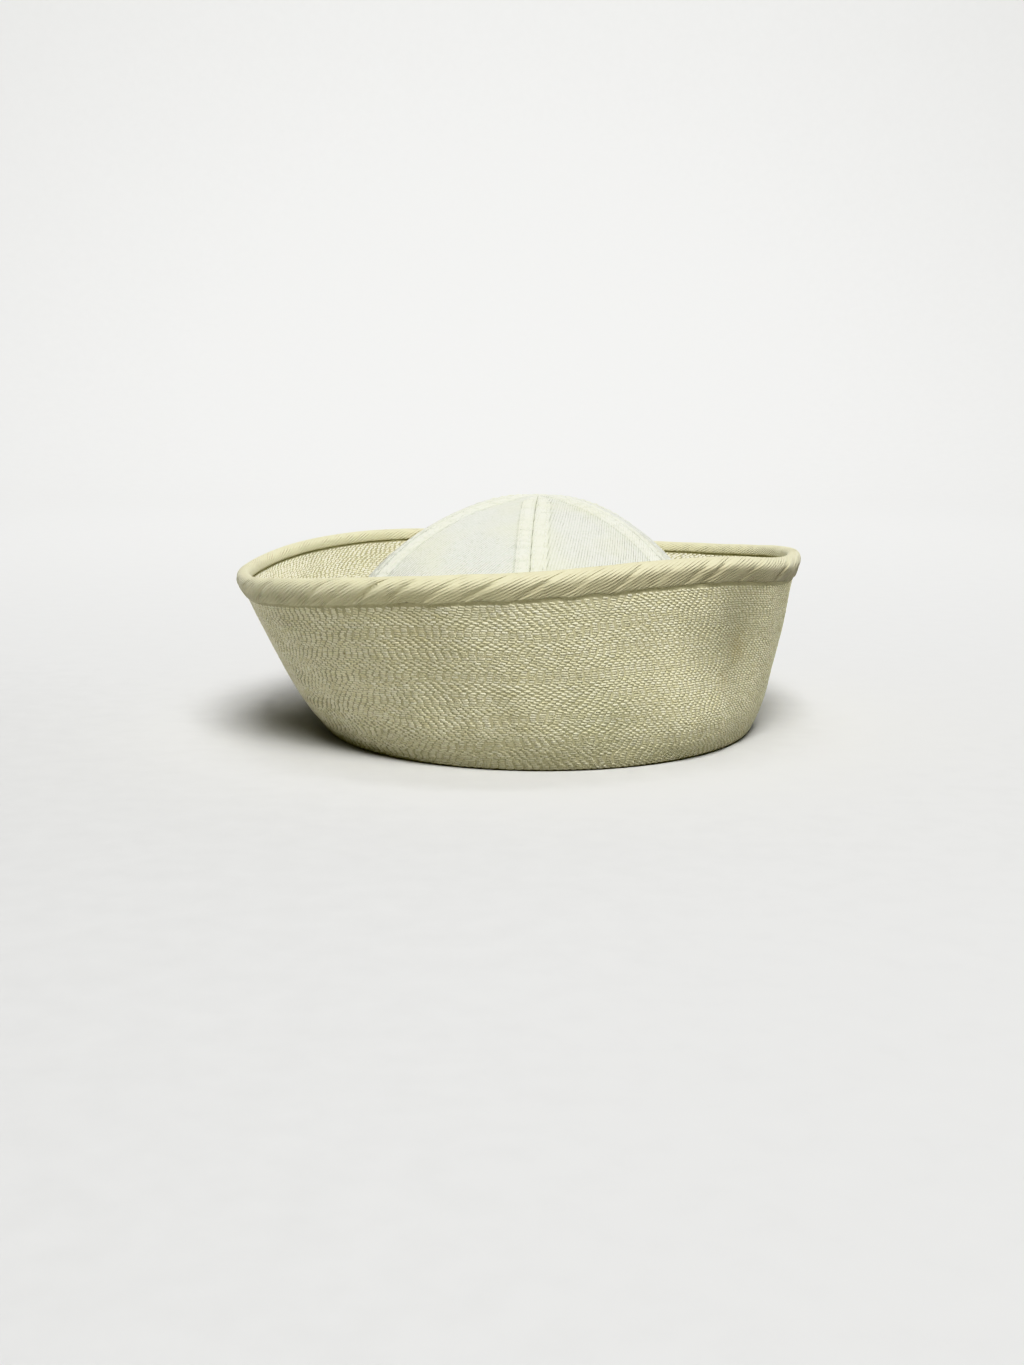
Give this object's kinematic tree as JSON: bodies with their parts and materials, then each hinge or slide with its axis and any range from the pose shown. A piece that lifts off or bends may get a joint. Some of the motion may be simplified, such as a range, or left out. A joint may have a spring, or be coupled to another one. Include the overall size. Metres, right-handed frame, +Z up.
{
  "type": "sailor cap",
  "caption": "White cloth sailor cap: domed crown of gores inside a stitched brim turned up all round, its edge bound in tape.",
  "frame": {"origin": "middle of the bounding box's underside, on the surface that the folded brim edge rests on", "axes": "+Z up through the crown, -Y the front of the cap, +X the side on the right of the picture; +Y is the longest extent and +Z the shortest"},
  "size_m": [0.2298, 0.2564, 0.0935],
  "materials": {
    "brim_cloth": "cream cotton twill, closely machine stitched, matt",
    "binding_tape": "cream cotton twill bias tape, matt",
    "crown_cloth": "white bleached cotton twill, matt with a slight sheen on the seams"
  },
  "bodies": {
    "root": {"brim": "brim_cloth", "brim_binding": "binding_tape", "crown_gore_1": "crown_cloth", "crown_gore_2": "crown_cloth", "crown_gore_3": "crown_cloth", "crown_gore_4": "crown_cloth", "crown_gore_5": "crown_cloth", "crown_gore_6": "crown_cloth"}
  },
  "joints": []
}
